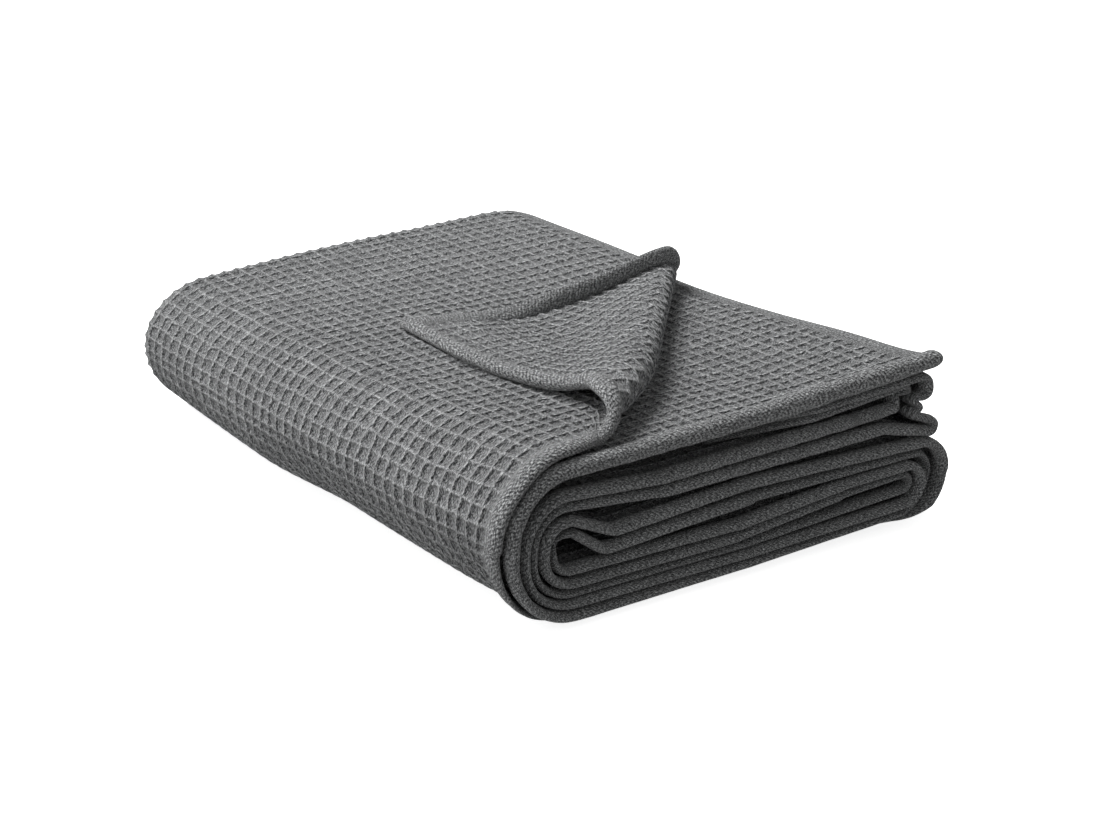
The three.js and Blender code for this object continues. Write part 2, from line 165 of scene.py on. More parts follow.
FOLD_ROWS = (
    ("free end", 342, 124, 0, 341, 117, 0, 9, 13.4, -12, 0, -2),
    ("run 1, right", 240, 116.8, 0, 240, 108.4, 0, 11, 14.6, -8, -1, -4.6),
    ("run 1, middle", 200, 115.2, 0, 200, 106.8, 0, 11.4, 14.2, -1, -1, -2),
    ("run 1, roll", 162, 113.6, 0, 162, 105.2, 0, 10.2, 13.6, 13, 0, -0.6),
    ("run 1, crease", 92, 112, 0, 92, 102.6, 0, 9, 12.4, 13, 0),
    ("outer left, top", -3, 112, 51, 6.5, 101, 41, 8.2, 10.8, 2, 0),
    ("outer left, bottom", -3, 1.9, 57, 6, 7.6, 47, 3.8, 7, 9, 1, 1),
    ("run 8, left", 66, 1.9, 0, 66, 7.6, 0, 3.8, 6, 36, 3, 2.4),
    ("run 8, middle", 190, 1.9, 0, 190, 7.4, 0, 3.8, 5.6, 40, 3, 0.6),
    ("outer right, bottom", 359, 1.9, 33, 350, 9.6, 24, 3.8, 5, 6, 12),
    ("outer right, top", 360, 58.8, 23, 350, 51, 16, 7.6, 5.4, 3, 10),
    ("run 5, middle", 190, 62.0, 150, 190, 51, 150, 8.8, 8.6, 3, 3),
    ("inner left, dip", 82, 54.5, 22, 75, 44, 14, 8.8, 8, 3, 3),
    ("inner left, bump", 51, 68.2, 13, 53, 59.6, 7, 6.4, 6, 3, 4),
    ("inner left, top", 31, 66.6, 14, 38.5, 58.6, 8, 6.2, 5.2, 3, 9),
    ("inner left, bottom", 31, 27, 22, 38.5, 36, 11, 6.4, 6, 4, 5),
    ("run 6, middle", 180, 26.8, 90, 180, 35.6, 90, 8.2, 8.2, 4, 2),
    ("run 6, right", 268, 35.6, 60, 268, 43.2, 60, 6, 6.6, 5, 3),
    ("inner right, top", 331, 38.6, 5.6, 339, 45.2, 12.6, 5, 6, 8, 3),
    ("inner right, bottom", 331, 26.8, 5.6, 339, 17.6, 12.6, 6.4, 6.2, 8, 4),
    ("run 7, middle", 190, 19.6, 200, 190, 13.4, 200, 4.8, 6.2, 6, 3),
    ("middle left, bottom", 24, 19.6, 28, 17, 13.8, 35, 5.2, 6, 7, 4),
    ("middle left, top", 24, 79.2, 22, 16.3, 86.8, 30, 6, 7.4, 5, 3),
    ("run 3, middle", 120, 71, 120, 120, 80.4, 120, 8.6, 9.8, 4, 3),
    ("right, low bulge", 302, 75.8, 18, 270, 86.4, 0, 9.2, 9.4, 3, 4),
    ("right, low tip", 346, 65.4, 3.2, 281, 87, 0, 7.4, 9.2, 4, 4),
    ("right, low return", 348, 72.6, 3.2, 291, 87.4, 0, 7.4, 9, 4, 4),
    ("right, first notch", 326, 80.6, 2, 301, 87.8, 0, 5.2, 8.6, 7, 4),
    ("right, middle tip", 337, 84.4, 2.6, 313, 88.4, 3, 5.6, 7.6, 5, 5),
    ("right, second notch", 327, 91.4, 2, 314.5, 97, 2.5, 4.6, 5, 6, 9),
    ("loop, bottom", 340.5, 92.6, 6, 321.5, 98.6, 2, 8.6, 4.8, 3, 4),
    ("loop, top", 339, 107, 6.2, 320.5, 103, 2, 6.8, 5, 3, 4),
    ("inner, middle", 245, 101.2, 0, 240, 95, 0, 6.4, 6.8, 4, 6),
    ("inner end", 165, 95.6, 0, 168, 88.6, 0, 4.6, 3.8, 22, 24),
)
FOLDS = tuple(Corner(*row) for row in FOLD_ROWS)


@dataclass
class Section:
    """The folded section: the way of both halves through the stack, read by length.

    The length runs from the free end. It is the longer of the two halves' lengths at each
    place, so that the weave is never drawn apart.
    """

    arc_share: float = 0.35
    arc_steps: int = 18
    passing_reach: float = 2.0
    samples: int = 12001
    turns: Array = field(init=False)
    lengths: Array = field(init=False)
    paths: dict = field(init=False)

    def __post_init__(self) -> None:
        """Traces both halves and measures their length."""
        self.turns = np.linspace(0.0, len(FOLDS) - 1.0, self.samples)
        self.paths = {}
        steps = []
        for half in Half:
            turn, places = self.knots(half)
            path = np.stack([np.interp(self.turns, turn, places[:, k]) for k in range(2)], axis=1)
            self.paths[half] = path
            steps.append(np.linalg.norm(np.diff(path, axis=0), axis=1))
        self.lengths = np.r_[0.0, np.cumsum(np.maximum(*steps))]

    def knots(self, half: Half) -> tuple[Array, Array]:
        """Turns of close points of one half's way, and the points."""
        places = [corner.place(half) for corner in FOLDS]
        turns, points = [], []
        for k, corner in enumerate(FOLDS):
            if max(corner.r_a, corner.r_b) == 0:
                turns.append(float(k))
                points.append(places[k])
                continue
            turns.extend(k + self.arc_share * np.linspace(-1.0, 1.0, self.arc_steps + 1))
            points.extend(self.rounded(*places[k - 1 : k + 2], own(corner, "r", half)))
        return np.array(turns), np.array(points)

    def rounded(self, before: Array, here: Array, after: Array, radius: float) -> Array:
        """Arc that rounds a corner, or a short straight passage where it has no radius."""
        into = (here - before) / np.linalg.norm(here - before)
        out = (after - here) / np.linalg.norm(after - here)
        share = np.linspace(-1.0, 1.0, self.arc_steps + 1)[:, None] * self.passing_reach
        if radius == 0:
            return here + np.where(share < 0, into, out) * share
        turn = math.atan2(into[0] * out[1] - into[1] * out[0], float(into @ out))
        start = here - into * radius * math.tan(abs(turn) / 2.0)
        side = np.array([-into[1], into[0]]) * math.copysign(1.0, turn)
        centre = start + side * radius
        angles = turn * np.linspace(0.0, 1.0, self.arc_steps + 1)
        cos, sin = np.cos(angles), np.sin(angles)
        x, z = start - centre
        return centre + np.stack([x * cos - z * sin, x * sin + z * cos], axis=1)

    def turn_at(self, length: Array) -> Array:
        """Count of corners passed at a length."""
        return np.interp(length, self.lengths, self.turns)

    def length_at(self, turn: float) -> float:
        """Length at a count of corners passed."""
        return float(np.interp(turn, self.turns, self.lengths))

    def place(self, half: Half, turn: Array) -> Array:
        """Section point of one half, with x and z in its last axis."""
        path = self.paths[half]
        return np.stack([np.interp(turn, self.turns, path[:, k]) for k in range(2)], axis=-1)

    def size(self, name: str, turn: Array) -> Array:
        """One of the corners' sizes, blended evenly between them."""
        return np.interp(turn, np.arange(len(FOLDS)), [getattr(corner, name) for corner in FOLDS])


@dataclass(frozen=True)
class Weave:
    """Cells of the waffle weave and the relief that they give each face.

    The slope is a share of a cell. The low walls lie down by a share of the pits' depth.
    """

    across: float = 10.95
    along: float = (DEPTH - HEM) / CELLS_ALONG
    slope: float = 0.28
    low_wall: float = 0.3
    depth: float = 1.75

    def cells(self, length: Array, depth: Array) -> tuple[Array, Array]:
        """Place counted in cells across and along, from the hems' inner edge."""
        return (length - HEM) / self.across, (depth - HEM) / self.along

    def pit(self, length: Array, depth: Array) -> Array:
        """How deep in a pit a place is: 0 on the walls between cells and 1 on a pit's floor."""
        across, along = (
            smoothstep(0.5 - np.abs(np.mod(count, 1.0) - 0.5), 0.0, self.slope)
            for count in self.cells(length, depth)
        )
        return mix(self.low_wall, 1.0, across) * along


@dataclass(frozen=True)
class TurnedCorner:
    """The corner of half A's top run that is rolled back over a line across the stack.

    The roll runs from start to end and is flatter at first. The cloth beyond it lies down over
    the slope. Three shifts in plan move it a little: a slip where it comes down on lower cloth,
    one of its tip, and one of the sagging near end of the roll.
    """

    start: Pair = (88.0, 5.0)
    end: Pair = (328.0, 284.0)
    roll_near: float = 12.5
    roll_far: float = 7.2
    near_flatness: float = 0.8
    flat_reach: float = 150.0
    lie: float = 6.0
    slope: float = 33.0
    settling: float = 0.92
    slip: Pair = (1.5, 2.3)
    slip_fade: Pair = (24.0, 105.0)
    tip_at: Pair = (340.0, -10.0)
    tip_reach: float = 42.0
    tip_shift: Pair = (7.0, 10.0)
    sag_at: Pair = (110.0, 22.0)
    sag_reach: float = 46.0
    sag_shift: Pair = (-26.0, -4.0)
    sag_past: Pair = (-25.0, 10.0)

    def turned(self, points: Array, surface: Callable[[Array, Array], Array]) -> Array:
        """Where points of the flat top run lie once the corner is turned back.

        The surface gives the height of the top run at x and y.
        """
        start, end = np.array(self.start), np.array(self.end)
        length = float(np.linalg.norm(end - start))
        way = (end - start) / length
        side = np.array([way[1], -way[0]])
        offset = points[..., :2] - start
        past = offset @ side
        share = np.clip(offset @ way / length, 0.0, 1.0)
        radius = mix(self.roll_near, self.roll_far, share)
        angle = np.clip(past / radius, 0.0, math.pi)
        beyond = np.maximum(0.0, past - math.pi * radius)
        reach = np.where(past > 0, radius * np.sin(angle) - beyond - past, 0.0)
        rounder = smoothstep(share * length, 0.0, self.flat_reach)
        height = radius * mix(self.near_flatness, 1.0, rounder)
        rise = height * (1.0 - np.cos(angle))
        settled = mix(self.lie, 2.0 * height, hump(beyond, self.slope))
        lift = np.where(beyond > 0, settled, np.where(past > 0, rise, 0.0))
        moved = points.copy()
        moved[..., :2] += side * reach[..., None]
        moved[..., 2] += lift
        before, after = points[..., :2], moved[..., :2]
        fall = surface(before[..., 0], before[..., 1]) - surface(after[..., 0], after[..., 1])
        fall = self.settling * np.where(past > 0, fall, 0.0)
        near = 1.0 - smoothstep(before[..., 1], *self.slip_fade)
        moved[..., :2] += (fall * near)[..., None] * np.array(self.slip)
        moved[..., 2] -= fall
        at_tip = hump(apart(before, self.tip_at), self.tip_reach)
        moved[..., :2] += at_tip[..., None] * np.array(self.tip_shift)
        sag = smoothstep(past, *self.sag_past) * hump(apart(moved, self.sag_at), self.sag_reach)
        moved[..., :2] += sag[..., None] * np.array(self.sag_shift)
        return moved


@dataclass(frozen=True)
class Hems:
    """The round hems: how thick and even they are, and the groove at their seam.

    The first of the two end thicknesses is that of the flat hem, the second where it stands up.
    """

    usual: float = 10.0
    fullness: float = 1.85
    scale: float = 0.95
    taper: float = 0.45
    end: Pair = (5.2, 8.0)
    groove: float = 0.45
    groove_off: float = 0.4
    inside_from: Pair = (0.4, 0.8)
    seam_blend: float = 1.0
    waves_a: Waves = ((0.06, 23.0, 6.0), (0.05, 8.0, 2.7))
    waves_b: Waves = ((0.06, 23.0, 8.5), (0.05, 8.0, 0.4))
    squeeze: float = 0.3
    steps: int = 400

    def roll(self, distance: Array) -> Array:
        """Share of its thickness that a hem has at a distance from its edge."""
        off = np.clip(np.abs(distance - HEM / 2.0) / (HEM / 2.0), 0.0, 1.0)
        return (1.0 - off**self.fullness) ** (1.0 / self.fullness)

    def way_over(self, distance: Array) -> Array:
        """Way over the face of a hem of usual thickness, from its edge to a distance."""
        flat = np.linspace(0.0, HEM, self.steps)
        rise = np.diff(self.usual / 2.0 * self.roll(flat))
        way = np.r_[0.0, np.cumsum(np.hypot(np.diff(flat), rise))]
        return np.interp(distance, flat, way) + np.maximum(distance - HEM, 0.0)

    def inside(self, distance: Array) -> Array:
        """Share of the plain cloth's thickness beside a hem, with the groove at its seam."""
        groove = self.groove * hump(distance - HEM - self.groove_off, 1.0)
        low, high = (share * HEM for share in self.inside_from)
        return smoothstep(distance, low, high) * (1.0 - groove)

    def rounding(self, distance: Array) -> Array:
        """How one hem rounds off at the edge that it runs up to."""
        near = np.clip(distance / (self.taper * HEM), 0.0, 1.0)
        return np.sqrt(1.0 - (1.0 - near) ** 2)

    def puff(self, half: Half, length: Array, depth: Array) -> Array:
        """Uneven scale of the hem's thickness."""
        slow, quick = ripples(length, depth * self.squeeze, own(self, "waves", half))
        return self.scale + slow + quick


@dataclass(frozen=True)
class FreeEnd:
    """The free end of the cloth: rounded corners, and how it bows, droops and stands up."""

    corners: tuple[Trio, ...] = ((0.0, 6.0, 1.0), (DEPTH, 26.0, -1.0))  # edge, reach, way inwards
    tongue: float = 7.0  # how far half B's end runs out at the front
    tongue_reach: Pair = (26.0, 60.0)
    bow: float = 6.0
    bow_at: float = 90.0
    bow_reach: float = 45.0
    bow_fade: float = 100.0
    droop_a: Pair = (7.0, 7.0)  # out and down
    droop_b: Pair = (3.0, 4.0)
    droop_from_a: Pair = (290.0, 330.0)
    droop_from_b: Pair = (60.0, 160.0)
    droop_reach: float = 34.0
    stand: float = math.radians(86.0)
    stand_rise: Pair = (30.0, 190.0)
    stand_fall: Pair = (284.0, 306.0)

    def cornered(self, length: Array, depth: Array) -> tuple[Array, Array]:
        """Places drawn in near a corner of the cloth, which rounds it off."""
        moved = length, depth
        for edge, reach, way in self.corners:
            out, near = fade(length, reach), fade(np.abs(depth - edge), reach)
            inward = out * (1.0 - np.sqrt(1.0 - near**2 / 2.0)) * reach
            backward = near * (1.0 - np.sqrt(1.0 - out**2 / 2.0)) * reach
            moved = moved[0] + inward, moved[1] + way * backward
        return moved

    def standing(self, back: Array) -> Array:
        """Share by which the end hem of the turned corner stands up."""
        return smoothstep(back, *self.stand_rise) * (1.0 - smoothstep(back, *self.stand_fall))

    def shape(self, half: Half, points: Array, length: Array, back: Array) -> None:
        """Moves the points near the free end, where back is their distance from the front."""
        if half is Half.B:
            near_front, near_end = self.tongue_reach
            tongue = fade(length, near_end) * hump(points[..., 1], near_front)
            points[..., 0] += self.tongue * tongue
        else:
            bow = fade(length, self.bow_fade) * hump(points[..., 1] - self.bow_at, self.bow_reach)
            points[..., 0] -= self.bow * bow
        hanging = fade(length, self.droop_reach)
        from_here = smoothstep(back, *own(self, "droop_from", half))
        out, down = own(self, "droop", half)
        points[..., 0] += out * hanging * from_here
        points[..., 2] -= down * hanging**2 * from_here
        if half is Half.A:
            stand = self.stand * self.standing(back)
            past_seam = np.maximum(0.0, HEM - length)
            points[..., 0] -= past_seam * (1.0 - np.cos(stand))
            points[..., 2] += past_seam * np.sin(stand)


@dataclass(frozen=True)
class Leaning:
    """Slow changes of the section along the stack, and the top run's height across it."""

    width: float = 360.0
    top: float = 115.0
    floor_level: float = 1.9
    left_sink: float = 0.16
    right_sink: float = 0.055
    right_sink_by: float = 0.5
    skew: Pair = (3.0, 5.0)  # at the left and at the right, as for the bulge
    bulge: Pair = (6.0, 8.0)
    tuck: float = 11.0
    tuck_from: Pair = (8.0, 45.0)
    tuck_to: Pair = (215.0, 330.0)
    tuck_below: Pair = (15.0, 75.0)
    inwards: float = 4.0
    inwards_fade: Pair = (10.0, 90.0)
    forward: float = 6.0
    forward_fade: Pair = (0.0, 200.0)
    wave: float = 1.3
    wave_reach: Trio = (58.0, 90.0, 75.0)
    wave_start: float = 0.6
    run_x: tuple[float, ...] = (40.0, 92.0, 162.0, 240.0, 342.0)
    run_z: tuple[float, ...] = (110.5, 112.0, 113.6, 116.8, 124.0)

    def moved(self, points: Array) -> Array:
        """Where points of the even stack really lie."""
        x, y, z = np.moveaxis(points, -1, 0)
        back = y / DEPTH
        right = np.clip(x / self.width, 0.0, 1.0)
        left = (1.0 - right) ** 2
        high = np.maximum(0.0, (z - self.floor_level) / self.top)
        over, along, slow = self.wave_reach
        wave = np.sin(x / over + y / along) * np.sin(y / slow + self.wave_start)
        left_sink = self.left_sink * left * back
        right_sink = self.right_sink * right**2 * smoothstep(back, 0.0, self.right_sink_by)
        level = self.floor_level + (z - self.floor_level) * (1.0 - left_sink - right_sink)
        halfway = np.sin(math.pi * back)
        shifts = (skew * back + bulge * halfway for skew, bulge in zip(self.skew, self.bulge))
        tuck = smoothstep(y, *self.tuck_from) * (1.0 - smoothstep(y, *self.tuck_to))
        tuck = tuck * (1.0 - smoothstep(z, *self.tuck_below)) * left
        inwards = self.inwards * (1.0 - smoothstep(y, *self.inwards_fade)) * left
        forward = self.forward * (1.0 - smoothstep(y, *self.forward_fade)) * left
        x = x + self.tuck * tuck + inwards - mix(*shifts, right)
        return np.stack([x, y - forward, level + self.wave * wave * high**2], axis=-1)

    def surface(self, x: Array, y: Array) -> Array:
        """Height of the middle of the top run's cloth at x and y."""
        height = np.interp(x, self.run_x, self.run_z)
        return self.moved(np.stack([x, y, height], axis=-1))[..., 2]


@dataclass(frozen=True)
class Stack:
    """The whole folded stack: where any place of the cloth lies, and how thick it is there."""

    section: Section = field(default_factory=Section)
    weave: Weave = Weave()
    hems: Hems = Hems()
    end: FreeEnd = FreeEnd()
    corner: TurnedCorner = TurnedCorner()
    leaning: Leaning = Leaning()
    cloth: float = 4.4
    top_turn: float = 5.0  # corners passed where the left fold begins

    # How the cells lie closer towards the front hem, and how they wander.
    pull: float = 28.0
    pull_reach: float = 100.0
    pull_fade: Pair = (330.0, 515.0)
    wander_across: Waves = ((0.75, 34.0, 1.3), (1.5, 120.0, 4.1))
    wander_back: Waves = ((0.75, 31.0, 2.2), (2.2, 140.0, 3.7))
    wander_from: Pair = (2.0, 40.0)
    wander_to: Pair = (6.0, 40.0)

    # The back fold, the loose folds that end before it, and the hems' places at the front.
    back_bulge: float = 10.0
    usual_bulge: float = 4.0
    calm_from: float = 280.0
    calm_gap: float = 7.0
    calm_look: float = 0.25
    loose_gaps: Pair = (10.5, 17.5)
    inset_fade: float = 200.0
    drop_reach: float = 34.0

    def calm(self, turn: Array) -> Array:
        """Where half A goes at the back, with no loose folds left in it."""
        look, here = self.calm_look, self.section.place(Half.B, turn)
        along = self.section.place(Half.B, turn + look) - self.section.place(Half.B, turn - look)
        along /= np.linalg.norm(along, axis=-1, keepdims=True) + TINY
        beside = here + self.calm_gap * np.stack([along[..., 1], -along[..., 0]], axis=-1)
        usual = self.section.place(Half.A, turn)
        loose = smoothstep(np.linalg.norm(usual - here, axis=-1), *self.loose_gaps)
        return mix(usual, beside, loose[..., None])

    def drift(self, length: Array, depth: Array) -> tuple[Array, Array]:
        """Slow and small wandering of the weave within the cloth."""
        from_back = DEPTH - depth
        free = smoothstep(depth, *self.wander_from) * smoothstep(from_back, *self.wander_to)
        free = free * smoothstep(length, *self.wander_from)
        over = sum(ripples(length, depth, self.wander_across))
        back = sum(ripples(length, depth, self.wander_back))
        return length + free * over, self.pulled(depth) + free * back

    def pulled(self, depth: Array) -> Array:
        """Distance from the front of a place of the cloth, whose cells lie closer near the hem."""
        gathered = 1.0 - np.exp(-np.maximum(0.0, depth - HEM) / self.pull_reach)
        return depth - self.pull * gathered * (1.0 - smoothstep(depth, *self.pull_fade))

    def middle(self, half: Half, length: Array, depth: Array) -> Array:
        """Middle of the cloth at a place of one half."""
        length_in, depth_in = self.drift(*self.end.cornered(length, depth))
        turn = self.section.turn_at(length_in)
        calm, under = self.calm(turn), self.section.place(Half.B, turn)
        gap, centre = (calm - under) / 2.0, (calm + under) / 2.0
        bulge = np.minimum(np.linalg.norm(gap, axis=-1), self.back_bulge)
        straight = DEPTH - bulge
        inset = self.section.size(f"in_{half.value}", turn)
        y = depth_in + inset * (1.0 - smoothstep(depth_in, 0.0, self.inset_fade))
        angle = np.clip((depth_in - straight) / bulge, 0.0, 1.0) * math.pi / 2.0
        y = np.where(depth_in > straight, straight + bulge * np.sin(angle), y)
        calm_to = DEPTH - self.back_bulge / 2.0
        settle = smoothstep(np.minimum(y, straight), self.calm_from, calm_to)[..., None]
        back = calm if half is Half.A else under
        place = mix(self.section.place(half, turn), back, settle)
        sign = 1.0 if half is Half.A else -1.0
        folded = centre + sign * gap * np.cos(angle)[..., None]
        place = np.where((depth_in > straight)[..., None], folded, place)
        points = np.stack([place[..., 0], y, place[..., 1]], axis=-1)
        if half is Half.B:
            hang = fade(y - inset, self.drop_reach) ** 2
            points[..., 2] -= self.section.size("drop", turn) * hang
        self.end.shape(half, points, length, self.pulled(depth))
        points = self.leaning.moved(points)
        if half is Half.B:
            return points
        on_top = turn < self.top_turn - self.section.arc_share
        turned = self.corner.turned(points, self.leaning.surface)
        return np.where(on_top[..., None], turned, points)

    def round_back(self, depth: Array) -> Array:
        """Way over the cloth from the front hem, where it bulges round the back fold too."""
        past = np.maximum(0.0, depth - (DEPTH - self.usual_bulge))
        return depth + (math.pi / 2.0 - 1.0) * past

    def half_thickness(self, half: Half, length: Array, depth: Array, relief: Array) -> Array:
        """Distance from the middle of the cloth to its face, with a share of the relief."""
        hems, nearest = self.hems, np.minimum(length, depth)
        seam = HEM - hems.seam_blend, HEM + hems.seam_blend
        pits = self.weave.depth * self.weave.pit(length, depth)
        body = self.cloth / 2.0 - pits * smoothstep(nearest, *seam) * relief
        side = self.section.size(f"hem_{half.value}", self.section.turn_at(length))
        side = side * hems.puff(half, length, depth) / 2.0
        thin, thick = hems.end
        end = mix(thin, thick, self.end.standing(self.pulled(depth))) if half is Half.A else thin
        side = side * hems.roll(depth) * hems.rounding(length)
        end = end / 2.0 * hems.roll(length) * hems.rounding(depth)
        return np.maximum(body * hems.inside(nearest), np.maximum(side, end))


HEM_SAMPLES = (0.0, 0.3, 0.8, 1.6, 2.8, 4.4, 7.0, 9.6, 11.4, 12.6, 13.4)
FOLD_SAMPLES = (0.0, 0.8, 1.7, 2.7, 3.9, 5.3, 7.0)
# Samples within a cell, as shares of it.
FINE = (0.0, 0.13, 0.3, 0.7, 0.87)
MEDIUM = (0.0, 0.15, 0.5, 0.85)
COARSE = (0.0, 0.5)
LEAST_STEP = 0.3
ARC_COLUMNS = 9


@dataclass(frozen=True)
class Rows:
    """How closely a piece is sampled from the front hem to the back fold.

    Some cells at the front and some at the back hold the relief of the weave.
    """

    fine_front: int
    fine_back: int
    phases: tuple[float, ...]
    coarse_step: float = 40.0

    def places(self) -> tuple[Array, Array]:
        """Depths from the hem to the back fold, and the share of relief that each holds."""
        weave, coarse_end = Weave(), CELLS_ALONG - self.fine_back
        cells = [k for k in range(CELLS_ALONG) if k < self.fine_front or k >= coarse_end]
        depth = list(HEM_SAMPLES)
        depth += [HEM + (k + p) * weave.along for k in cells for p in self.phases]
        low = HEM + self.fine_front * weave.along
        high = HEM + coarse_end * weave.along
        if high > low:
            steps = max(1, round((high - low) / self.coarse_step))
            depth += list(np.linspace(low, high, steps + 1)[:-1])
        depth += [DEPTH - d for d in FOLD_SAMPLES]
        depth = spaced(depth, LEAST_STEP)
        if high <= low:
            return depth, np.ones(len(depth))
        relief = 1.0 - smoothstep(depth, low - weave.along, low)
        return depth, relief + smoothstep(depth, high, high + weave.along)


def spaced(values: list[float], least: float) -> Array:
    """Values in order, leaving out those that nearly repeat the one before."""
    ordered = sorted(values)
    kept = ordered[:1]
    for value in ordered:
        if value - kept[-1] > least:
            kept.append(value)
    kept[-1] = ordered[-1]
    return np.array(kept)


@dataclass
class ClothPiece:
    """One stretch of one half of the cloth, as a closed thin sheet.

    Its start, its end and where it stops being coarse are lengths along the folded section.
    """

    stack: Stack
    name: str
    half: Half
    start: float
    end: float
    rows: Rows
    rests_on: tuple[str, ...]
    coarse_until: float = 0.0
    tight: float = 9.0  # corners of a smaller radius get columns of their own
    look: float = 0.5  # how far beyond its ends a piece reads the way on

    def columns(self) -> tuple[Array, Array]:
        """Lengths at which the piece has points, and the share of relief that each holds."""
        weave, section = self.stack.weave, self.stack.section
        first = math.floor((self.start - HEM) / weave.across)
        last = math.ceil((self.end - HEM) / weave.across)
        values = [self.start, self.end]
        for cell in range(first, last + 1):
            here = HEM + cell * weave.across
            phases = COARSE if here < self.coarse_until else self.rows.phases
            values += [here + phase * weave.across for phase in phases]
        if self.start == 0.0:
            values += list(HEM_SAMPLES)
        for k, corner in enumerate(FOLDS[1:-1], start=1):
            if 0 < own(corner, "r", self.half) < self.tight:
                arc = section.arc_share * np.linspace(-1.0, 1.0, ARC_COLUMNS)
                values += [section.length_at(k + turn) for turn in arc]
        inside = [value for value in values if self.start <= value <= self.end]
        lengths = spaced(inside, LEAST_STEP if self.start == 0.0 else 2.0 * LEAST_STEP)
        relief = smoothstep(lengths, self.coarse_until, self.coarse_until + weave.across)
        return lengths, relief if self.coarse_until > self.start else np.ones(len(lengths))

    def faces(self) -> tuple[Array, Array, Array, Array]:
        """Middle points, the way from them to the upper face, and their lengths and depths."""
        (lengths, over), (depths, back) = self.columns(), self.rows.places()
        look = self.look
        wider = np.r_[lengths[0] - look, lengths, lengths[-1] + look]
        deeper = np.r_[depths[0] - look, depths, depths[-1]]
        length, depth = np.maximum(np.meshgrid(wider, deeper), 0.0)
        points = self.stack.middle(self.half, length, depth)
        forward = points[2:, 1:-1] - points[:-2, 1:-1]
        forward[-1] = points[-2, 1:-1] - points[-3, 1:-1]
        along = points[1:-1, 2:] - points[1:-1, :-2]
        normal = np.cross(along, forward)
        normal /= np.linalg.norm(normal, axis=-1, keepdims=True) + TINY
        length, depth = np.meshgrid(lengths, depths)
        relief = over[None, :] * back[:, None]
        half = self.stack.half_thickness(self.half, length, depth, relief)
        return points[1:-1, 1:-1], normal * half[..., None], length, depth

    def build(self) -> bpy.types.Object:
        """Makes the piece."""
        middle, out, length, depth = self.faces()
        ring = self.round_ring(middle + out, middle - out, middle)
        cells = np.stack(self.stack.weave.cells(length, self.stack.round_back(depth)), axis=-1)
        from_edge = self.stack.hems.way_over(np.minimum(length, depth))
        rim = np.stack([np.maximum(length, depth), from_edge], axis=-1)
        under = rim * np.array([1.0, -1.0])
        maps = {"weave": self.round_ring(cells, cells), "rim": self.round_ring(rim, under)}
        return SheetMesh(self.name, (ring - TABLE_MIDDLE) * MM, maps).build()

    def round_ring(self, upper: Array, under: Array, middle: Array | None = None) -> Array:
        """Values of both faces as one ring of rows, with a column more at each cut."""
        ring = np.concatenate([upper, under[::-1]])
        caps = ring if middle is None else np.concatenate([middle, middle[::-1]])
        return np.concatenate([caps[:, :1], ring, caps[:, -1:]], axis=1)

    def flat(self) -> Pair:
        """Flat size of the piece in metres."""
        return (self.end - self.start) * MM, DEPTH * MM


def placed(name: str, data: bpy.types.ID) -> bpy.types.Object:
    """Adds an object with its data to the scene."""
    made = bpy.data.objects.new(name, data)
    bpy.context.scene.collection.objects.link(made)
    return made


def grid_mesh(name: str, columns: int, rows: int, half_side: float) -> bpy.types.Mesh:
    """Makes a flat square mesh of columns by rows faces."""
    grid = bmesh.new()
    bmesh.ops.create_grid(grid, x_segments=columns, y_segments=rows, size=half_side)
    mesh = bpy.data.meshes.new(name)
    grid.to_mesh(mesh)
    grid.free()
    return mesh


@dataclass
class SheetMesh:
    """A grid of points that runs round a sheet, closed at its rim."""

    name: str
    points: Array
    maps: dict[str, Array]
    joined: float = 1e-7  # metres

    def build(self) -> bpy.types.Object:
        """Makes the mesh and its object."""
        rows, columns = self.points.shape[:2]
        mesh = grid_mesh(self.name, columns - 1, rows - 1, 1.0)
        mesh.vertices.foreach_set("co", self.points.astype(np.float32).ravel())
        corners = np.empty(len(mesh.loops), dtype=np.int32)
        mesh.loops.foreach_get("vertex_index", corners)
        for name, values in self.maps.items():
            layer = mesh.uv_layers.new(name=name)
            layer.data.foreach_set("uv", values.reshape(-1, 2)[corners].astype(np.float32).ravel())
        self.mark_rims(mesh)
        self.close(mesh)
        mesh.shade_smooth()
        return placed(self.name, mesh)

    def mark_rims(self, mesh: bpy.types.Mesh) -> None:
        """Marks the edges sharp where a flat cut meets the faces."""
        rows, columns = self.points.shape[:2]
        row, column = np.divmod(np.arange(rows * columns), columns)
        pairs = np.empty(2 * len(mesh.edges), dtype=np.int32)
        mesh.edges.foreach_get("vertices", pairs)
        first, second = pairs.reshape(-1, 2).T
        sharp = np.zeros(len(mesh.edges), dtype=bool)
        for line, cuts in ((row, (rows // 2 - 1, rows // 2)), (column, (1, columns - 2))):
            for cut in cuts:
                sharp |= (line[first] == cut) & (line[second] == cut)
        marks = mesh.attributes.new("sharp_edge", "BOOLEAN", "EDGE")
        marks.data.foreach_set("value", sharp)

    def close(self, mesh: bpy.types.Mesh) -> None:
        """Joins the rim of the grid and turns its faces outwards."""
        sheet = bmesh.new()
        sheet.from_mesh(mesh)
        bmesh.ops.remove_doubles(sheet, verts=sheet.verts, dist=self.joined)
        if sheet.calc_volume(signed=True) < 0:
            bmesh.ops.reverse_faces(sheet, faces=sheet.faces)
        sheet.to_mesh(mesh)
        sheet.free()


